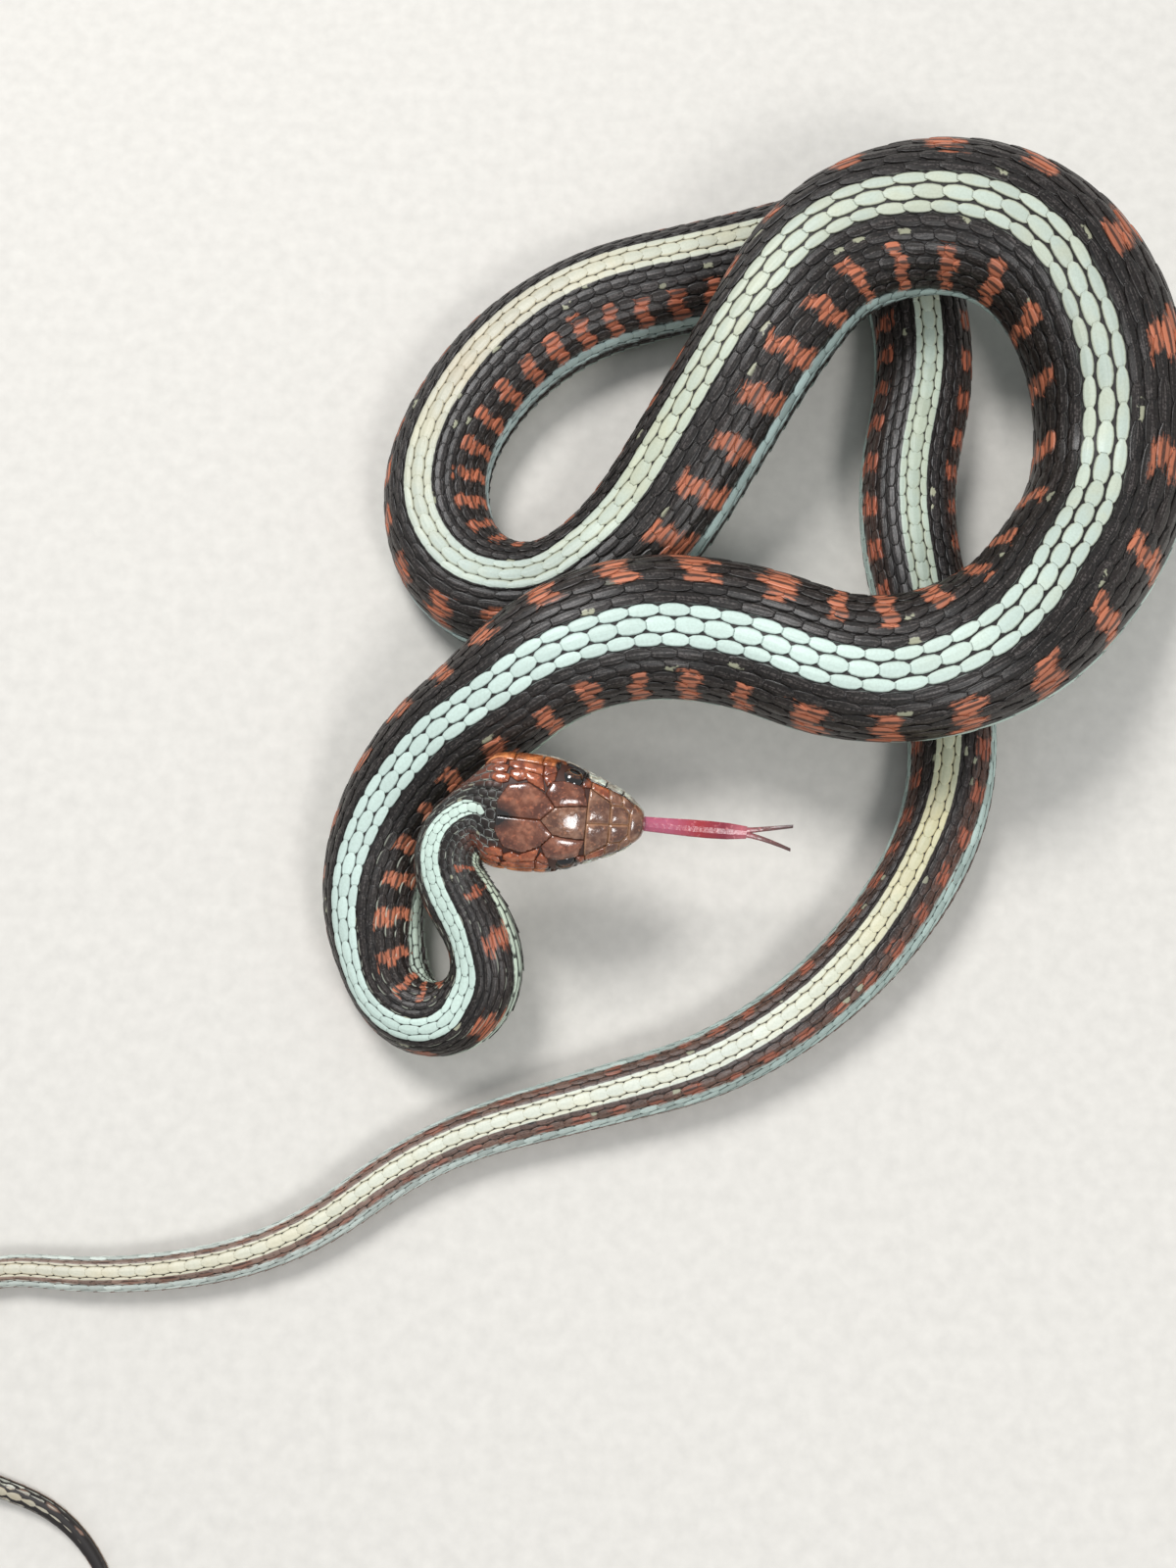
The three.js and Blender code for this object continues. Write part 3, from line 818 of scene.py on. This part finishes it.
def lay_belly(name, first, last):
    """Broad plates under the body, one for each ring of scales."""
    rings = np.arange(np.ceil(ring_of(first)), ring_of(last) - 0.01)
    template = grid(3, 16, True)
    size = len(template.verts)
    mesh = many(template, len(rings), name)
    flat = coords(mesh)
    v, u, top = flat[:, 0] + 0.5, flat[:, 1] * 2, flat[:, 2] + 1
    rings = np.repeat(rings, size)
    place = place_of(rings + v * 1.1 - 0.1 * np.abs(u) ** 3)
    turn = at_ring(MIDDLE, place) + 0.5 + u * (BELLY_SHARE + BELLY_OVERLAP)
    height = np.where(top > 0.5, -BELLY_RISE + BELLY_RISE * v ** 2, -COAT_DEPTH - 0.1)
    put(mesh, shell(place, turn, height * np.clip(at_ring(GIRTH, place) / BELLY_FULL_GIRTH, 0.3, 1)))
    row = np.where(np.abs(u) > BELLY_EDGE, between(SIDE_ROWS, place), 12.0)
    paint(mesh, **markings(place, row, rings))
    unwrap(mesh, "Scale", v, np.full(len(v), 0.25))
    root_u, root_v = bake_place(place_of(rings + 0.5), at_ring(MIDDLE, place) + 0.5)
    unwrap(mesh, "OFBake", root_u + (v - 0.5) * TUFT, root_v + u / 2 * TUFT)
    return piece(mesh, name, SCALES)


for number, (first, last) in enumerate(zip(COAT_LENGTHS, COAT_LENGTHS[1:]), 1):
    lay_scales(f"scales_{number}", first, last)
lay_belly("belly_plates", 0, LENGTH - BELLY_END)

# The head's plates
CROWN, SNOUT_TONE, TEMPLE = (130, 82, 60), (132, 96, 74), (162, 90, 54)
ORANGE, LIP, CHIN = (200, 122, 66), (204, 214, 194), (206, 208, 190)
# Corners: distance behind the snout, and how far round from the crown's middle (0) by the lip (1) to the
# chin's middle (2)
MIDDLE_PLATES = {
    "rostral": (
        SNOUT_TONE, [(-0.2, -0.98), (-0.2, 0.98), (1.2, 0.98), (2.1, 0.26), (2.1, -0.26), (1.2, -0.98)]),
    "frontal": (SNOUT_TONE, [(8.4, -0.25), (8.4, 0.25), (13.2, 0.17), (15.2, 0), (13.2, -0.17)]),
    "mental": (CHIN, [(-0.2, 1.04), (-0.2, 2.96), (1.4, 2.9), (2.8, 2.2), (2.8, 1.8), (1.4, 1.1)]),
}
SIDE_PLATES = {
    "internasal": (SNOUT_TONE, [(2.1, 0), (5, 0), (5, 0.36), (3.2, 0.42), (2.1, 0.26)]),
    "front_nasal": (SNOUT_TONE, [(2.1, 0.26), (3.2, 0.42), (3.5, 0.69), (1.6, 0.69), (1.4, 0.6)]),
    "rear_nasal": (SNOUT_TONE, [(3.2, 0.42), (5, 0.36), (5.3, 0.46), (5.4, 0.69), (3.5, 0.69)]),
    "prefrontal": (SNOUT_TONE, [(5, 0), (8.4, 0), (8.4, 0.27), (8.3, 0.55), (5.1, 0.4)]),
    "loreal": (TEMPLE, [(5.2, 0.43), (8.1, 0.55), (8.1, 0.69), (5.4, 0.69)]),
    "supraocular": (CROWN, [(8.4, 0.26), (13.2, 0.17), (14.8, 0.32), (14, 0.48), (11.5, 0.54), (9.2, 0.52)]),
    "preocular": (TEMPLE, [(8.2, 0.56), (9.4, 0.52), (9.8, 0.8), (8.1, 0.69)]),
    "parietal": (
        CROWN, [(15.2, 0), (13.2, 0.17), (14.9, 0.32), (17.5, 0.42), (20.4, 0.36), (21.9, 0.16), (21.9, 0)]),
    "postocular_1": (TEMPLE, [(13.6, 0.5), (14.7, 0.4), (15.5, 0.52), (13.4, 0.62)]),
    "postocular_2": (TEMPLE, [(13.4, 0.62), (15.5, 0.52), (15.4, 0.69), (13.3, 0.72)]),
    "postocular_3": (TEMPLE, [(13.3, 0.72), (15.4, 0.69), (14.4, 0.76), (12.9, 0.84)]),
    "temporal_1": (TEMPLE, [(14.9, 0.34), (17.7, 0.43), (18.6, 0.56), (15.5, 0.53)]),
    "temporal_2": (TEMPLE, [(15.5, 0.53), (18.6, 0.56), (18.8, 0.69), (15.4, 0.69)]),
}
# Columns of small temporals: distance behind the snout, top and bottom as above, and how many there are
TEMPORALS = [(17.8, 0.43, 0.7, 2), (20.4, 0.37, 0.71, 3)]
for i, (start, low, high, count) in enumerate(TEMPORALS):
    for k in range(count):
        q0, q1 = (low + (high - low) * s / count for s in (k, k + 1))
        a = start + (0.35 * k + 0.1 * i)
        SIDE_PLATES[f"temporal_{3 + i}_{k + 1}"] = (TEMPLE, [
            (a, q0 + 0.02), (a + 1.3, q0 - 0.02), (a + 2.6, q0 + 0.03),
            (a + 2.6, q1 - 0.03), (a + 1.3, q1 + 0.01), (a - 0.3, q1),
        ])
# Where the plates of the lips are cut, behind the snout
UPPER_CUTS = [1.2, 3.3, 5.9, 8.9, 12, 15.6, 19.8, 24.4]
for i, (a, b) in enumerate(zip(UPPER_CUTS, UPPER_CUTS[1:]), 1):
    tone, top = (ORANGE, 0.69) if i > 4 else (LIP, 0.7)
    SIDE_PLATES[f"upper_labial_{i}"] = (tone, [(a, 0.985), (b, 0.985), (b + 0.2, top), (a + 0.2, top)])
LOWER_CUTS = [1.2, 3, 5.2, 7.6, 10, 12.4, 15.1, 18.6, 22.4, 25.4]
for i, (a, b) in enumerate(zip(LOWER_CUTS, LOWER_CUTS[1:]), 1):
    SIDE_PLATES[f"lower_labial_{i}"] = (CHIN, [(a, 1.03), (b, 1.03), (b + 0.1, 1.3), (a + 0.1, 1.3)])
SIDE_PLATES["chin_shield_1"] = (CHIN, [(2.9, 1.98), (3.2, 1.36), (7.6, 1.5), (8, 1.98)])
SIDE_PLATES["chin_shield_2"] = (CHIN, [(8, 1.98), (7.6, 1.5), (12.4, 1.56), (13.6, 1.8), (12.8, 1.98)])
for i in range(8):
    for k, (inner, outer) in enumerate(((1.31, 1.46), (1.46, 1.6), (1.6, 1.75))):
        a = (7.9, 12.6, 13.8)[k] + 2.1 * i
        if a < 23.5:
            SIDE_PLATES[f"gular_{i + 1}_{k + 1}"] = (CHIN, [
                (a, inner + 0.03), (a + 1, inner), (a + 2.2, inner + 0.07), (a + 1, outer), (a, outer - 0.03),
            ])
PLATE_GAP = 0.03
PLATE_STEP = 0.42
PLATE_SINK, PLATE_RISE = 0.2, 0.15  # depth of a plate's rim under the outline, and its face's rise over it
PLATE_EDGE = 0.22  # breadth of the rounded rim
PLATE_DOME, BROW_DOME = 0.09, 0.2
SEAM = 0.12  # breadth of the coloured seam between plates
PALE_SEAMS = 8.2  # plates whose middle is nearer to the snout than this have pale seams
PLATE_PATCH = (0.0011, 0.02)  # size of a millimetre on the plates' sheet
EYE_SHARE = 0.74
EYE_OPENING = 1.88
MOUTH_LINE = [[-2, 0.1], [3, 0], [9, 0.25], [15, 0.2], [20, -0.7], [22.8, -1.6]]
behind_rings = np.clip(RINGS + HEAD_LENGTH, 0, 30)
mouth = between(MOUTH_LINE, behind_rings)
reach = np.abs(mouth) / np.where(mouth > 0, head_section(behind_rings, 2), head_section(behind_rings, 3))
reach = np.sign(mouth) * reach ** (1 / np.where(mouth > 0, CROWN_FLATNESS, CHIN_FLATNESS))
MOUTH_TURN = np.array([
    np.interp(a, fine, run) / max(run[-1], 1e-6) for a, run in zip(np.arccos(reach), runs)
])


def head_turn(behind, share):
    """The turn of a plate's corner."""
    at_mouth = at_ring(MOUTH_TURN, behind - HEAD_LENGTH)
    size = np.abs(share)
    return np.sign(share) * np.where(size < 1, size * at_mouth, at_mouth + (size - 1) * (0.5 - at_mouth))


def lay_plate(name, tone, corners, side):
    """One plate, cut from a grid by its edges, domed, and laid over the head: side 1 is the right one."""
    corners = np.array(corners, float)
    at = corners.mean(0)
    girth = at_ring(GIRTH, at[0] - HEAD_LENGTH)
    if abs(at[1]) > 0.01:
        breadth = girth * abs(head_turn(*at)) / abs(at[1])
    else:
        breadth = girth * at_ring(MOUTH_TURN, at[0] - HEAD_LENGTH)
    metric = corners * [1, breadth]
    low, high = metric.min(0), metric.max(0)
    counts = np.ceil((high - low) / PLATE_STEP).astype(int)
    made = bmesh.new()
    bmesh.ops.create_grid(made, x_segments=counts[0], y_segments=counts[1], size=0.5)
    bmesh.ops.scale(made, vec=(*(high - low), 1), verts=made.verts)
    bmesh.ops.translate(made, vec=(*(low + high) / 2, 0), verts=made.verts)
    after = np.roll(metric, -1, 0)
    turn_way = np.sign(np.sum(metric[:, 0] * after[:, 1] - after[:, 0] * metric[:, 1]))
    edges = []
    for start, end in zip(metric, after):
        inward = np.array([start[1] - end[1], end[0] - start[0]]) * turn_way
        inward /= np.linalg.norm(inward)
        edges.append((start + inward * PLATE_GAP / 2, inward))
        bmesh.ops.bisect_plane(
            made, geom=[*made.verts, *made.edges, *made.faces], dist=1e-4,
            plane_co=(*edges[-1][0], 0), plane_no=(*-inward, 0), clear_outer=True)
    hem(made)
    soften(made)
    if side < 0:
        bmesh.ops.reverse_faces(made, faces=made.faces)
    mesh = mesh_of(made, name)
    flat = coords(mesh)
    behind, share, below = flat[:, 0], flat[:, 1] / breadth, flat[:, 2] < -0.5
    inside = np.min([(flat[:, :2] - co) @ way for co, way in edges], 0)
    eye = np.linalg.norm(flat[:, :2] - [EYE["behind"], EYE_SHARE * breadth], axis=1) - EYE_OPENING
    if side:
        inside = np.minimum(inside, eye)
    depth = np.clip(inside / PLATE_EDGE, 0, 1)
    dome = BROW_DOME if name == "supraocular" else PLATE_DOME
    height = -PLATE_SINK + PLATE_RISE * np.sqrt(1 - (1 - depth) ** 2) + dome * smooth(0, 1.5, inside)
    height = np.where(inside < -0.05, -COAT_DEPTH - 0.4, height)
    height = np.where(below, -COAT_DEPTH - 0.15, height) * smooth(-0.3, 2.5, behind + 0.6)
    put(mesh, shell(behind - HEAD_LENGTH, head_turn(behind, (side or 1) * share), height))
    wedge = smooth(16.8, 21.4, behind) * smooth(0.3, 0, share)
    wedge = wedge + 0.8 * smooth(22, 25.5, behind) * smooth(0.6, 0.3, share)
    # Dark seams on the pale lips, and painted shade on the plates round the eye's opening
    dark_seam_and_eye_shade = 0.9 * smooth(0.25, 0.05, inside) * (tone == LIP) + 0.9 * smooth(1.5, 0.2, eye) * (side != 0)
    rim = np.clip(inside / SEAM, 0, 1)
    if at[0] < PALE_SEAMS and tone not in (LIP, CHIN):
        rim = 2 - rim
    lip = smooth(0.7, 0.82, np.abs(share)) * (tone == SNOUT_TONE) * (behind < 3)
    paint(mesh, Tone=np.tile(linear(tone), (len(flat), 1)), Rim=np.where(below, 0, rim),
          Dark=np.maximum(wedge, dark_seam_and_eye_shade), Lip=lip)
    root = bake_place(at[0] - HEAD_LENGTH, head_turn(at[0], (side or 1) * at[1]))
    unwrap(mesh, "OFBake", root[0] + (behind - at[0]) * PLATE_PATCH[0],
           root[1] + (flat[:, 1] - at[1] * breadth) * PLATE_PATCH[1])
    found = bpy.data.objects.new(name, mesh)
    bpy.context.scene.collection.objects.link(found)
    return found


def plate_material():
    """Each plate's tone with darker mottling and painted sheen patches; Rim rises from 0 to 1 over a dark
    seam and falls from 2 over a pale one.
    """
    made, n, shader = material("plates", Roughness=0.2, Coat_Weight=0.7, Coat_Roughness=0.08)
    place = n.add("TexCoord", out=3)
    tone = n.painted("Tone", 0)
    cloud = n.noise(place, 420.0, 4.0)
    speck = n.noise(place, 2200.0, 4.0)

    def shade(*parts):
        return n.tinted(tone, parts)

    # Darker mottling, and pale grey-pink patches that are partly flaking skin and partly painted sheen
    mottle_to_sheen = n.step(n.noise(place, 1000.0, 3.0), 0.4, 0.62)
    mottle_and_sheen = n.mix(mottle_to_sheen, shade(0.72, 0.6, 0.55), shade(1.25, 1.3, 1.4))
    colour = n.mix(n.step(cloud, 0.4, 0.6), shade(0.42, 0.33, 0.33), mottle_and_sheen)
    colour = n.mix(n.times(n.step(speck, 0.55, 0.7), 0.6), colour, shade(1.9, 1.6, 1.5))
    rim = n.painted("Rim")
    colour = n.mix(n.step(rim, 0.1, 0.7), shade(0.45, 0.36, 0.33), colour)
    colour = n.mix(n.step(rim, 1.2, 1.8, 0, 0.55), colour, (0.45, 0.24, 0.13, 1))
    colour = n.mix(n.painted("Lip"), colour, (*linear(LIP), 1))
    # Near black where Dark says: the black wedge, the dark seams of the lips and the painted shade round the
    # eyes
    dark = n.plus(n.painted("Dark"), n.times(n.minus(cloud, 0.5), 1.2))
    colour = n.mix(n.step(dark, 0.32, 0.85), colour, (0.012, 0.009, 0.008, 1))
    n.feed(shader.inputs["Base Color"], colour)
    relief = n.plus(n.noise(place, 1300.0, 2.0), n.times(speck, 0.2))
    n.feed(shader.inputs["Normal"], n.add("Bump", Strength=0.4, Distance=0.0002, Height=relief))
    return made


made_plates = [lay_plate(name, *plate, 0) for name, plate in MIDDLE_PLATES.items()]
made_plates += [lay_plate(name, *plate, side) for name, plate in SIDE_PLATES.items() for side in (1, -1)]
with bpy.context.temp_override(active_object=made_plates[0], selected_editable_objects=made_plates):
    bpy.ops.object.join()
plates = made_plates[0]
plates.name = plates.data.name = "head_plates"
plates.data.materials.append(plate_material())
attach(plates, "root")


# Eyes and tongue
def eye_material():
    """A pupil, a thin pale ring and a dark iris, by the angle off the eye's axis."""
    made, n, shader = material("eye", Roughness=0.06, Coat_Weight=0.6)
    off = n.painted("Off")
    fleck = n.noise(n.add("TexCoord", out=3), 3000.0, 3.0)
    iris = n.mix(n.step(fleck, 0.4, 0.65), (0.02, 0.008, 0.005, 1), (0.1, 0.035, 0.014, 1))
    ring = n.times(n.step(off, 27, 28.5), n.step(off, 31, 29.5))
    iris = n.mix(n.times(ring, 0.7), iris, (0.3, 0.14, 0.05, 1))
    colour = n.mix(n.step(off, 26, 27.5), (0.003, 0.003, 0.003, 1), iris)
    colour = n.mix(n.step(off, 42, 50), colour, (0.006, 0.005, 0.005, 1))
    n.feed(shader.inputs["Base Color"], colour)
    return made


EYES = eye_material()


def lay_eye(name, side):
    """A ball with a round pupil, painted with the angle off its axis: side 1 is the animal's left."""
    made = bmesh.new()
    bmesh.ops.create_uvsphere(made, u_segments=48, v_segments=32, radius=EYE["radius"])
    for face in made.faces:
        face.smooth = True
    mesh = mesh_of(made, name)
    ball = coords(mesh)
    axis = np.array([0.28, side, 0.3])
    axis /= np.linalg.norm(axis)
    paint(mesh, Off=np.degrees(np.arccos(np.clip(ball @ axis / EYE["radius"], -1, 1))))
    put(mesh, from_head(ball + [HEAD_LENGTH - EYE["behind"], side * EYE["off"], EYE["height"]]))
    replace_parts(piece(mesh, name + "_ball", EYES), name)


lay_eye("eye_left", 1)
lay_eye("eye_right", -1)

TONGUE_REACH = (9.0, 34.0)  # from its root to its tips, ahead of the back of the head
TONGUE_TONES = [
    (0, 164, 84, 108), (0.22, 172, 88, 110), (0.4, 156, 50, 56), (0.55, 128, 44, 58), (0.66, 176, 96, 106),
    (0.76, 120, 80, 78), (1, 66, 54, 52),
]


def tongue_material():
    """Lilac pink where it leaves the mouth, red along the middle, dark at the tips, with pale pink flecks of
    painted glint.
    """
    made, n, shader = material("tongue", Roughness=0.25, Subsurface_Weight=0.15, Subsurface_Scale=0.001)
    place = n.add("TexCoord", out=3)
    share = n.step(n.split(place)[0], TONGUE_REACH[0] * MM, TONGUE_REACH[1] * MM)
    streak = n.noise(place, 1500.0, 3.0)
    # Pale pink flecks: painted glints on the wet tongue
    colour = n.mix(n.step(streak, 0.58, 0.85), n.ramp(share, TONGUE_TONES), (0.75, 0.3, 0.32, 1))
    n.feed(shader.inputs["Base Color"], colour)
    n.feed(shader.inputs["Normal"], n.add("Bump", Strength=0.4, Distance=0.0002, Height=streak))
    return made


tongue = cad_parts["tongue"]
tongue.data.materials.clear()
tongue.data.materials.append(tongue_material())

# Floor, light and camera
AIM = Vector((2.4, 16.85, 0)) * MM
CAMERA_DISTANCE = 317.46 * MM
CAMERA_TILT = np.radians(14)
floor_mesh = grid(1, 1, False)
bmesh.ops.scale(floor_mesh, vec=(3, 3, 3), verts=floor_mesh.verts)
floor = bpy.data.objects.new("floor", mesh_of(floor_mesh, "floor"))
bpy.context.scene.collection.objects.link(floor)
floor.data.materials.append(plain_material("floor", (214, 210, 203), 0.85))


def lamp(name, spot, size, power):
    light = bpy.data.lights.new(name, "AREA")
    light.shape = "DISK"
    light.size = size
    light.energy = power
    found = bpy.data.objects.new(name, light)
    found.location = spot
    found.rotation_euler = (AIM - Vector(spot)).to_track_quat("-Z", "Y").to_euler()
    bpy.context.scene.collection.objects.link(found)


lamp("key", (-0.25, 0.45, 0.75), 0.35, 6.4)
lamp("fill", (0.31, -0.38, 0.63), 0.24, 2.5)
world = bpy.data.worlds.new("studio")
world.use_nodes = True
world.node_tree.nodes["Background"].inputs[0].default_value = (0.9, 0.95, 1, 1)
world.node_tree.nodes["Background"].inputs[1].default_value = 0.55
bpy.context.scene.world = world
bpy.context.scene.view_settings.view_transform = "Standard"

lens_data = bpy.data.cameras.new("camera")
lens_data.lens = 45
lens_data.sensor_width = 36
lens_data.clip_start = 0.01
camera = bpy.data.objects.new("camera", lens_data)
camera.location = AIM + Vector((0, -np.sin(CAMERA_TILT), np.cos(CAMERA_TILT))) * CAMERA_DISTANCE
camera.rotation_euler = (CAMERA_TILT, 0, 0)
bpy.context.scene.collection.objects.link(camera)
bpy.context.scene.camera = camera
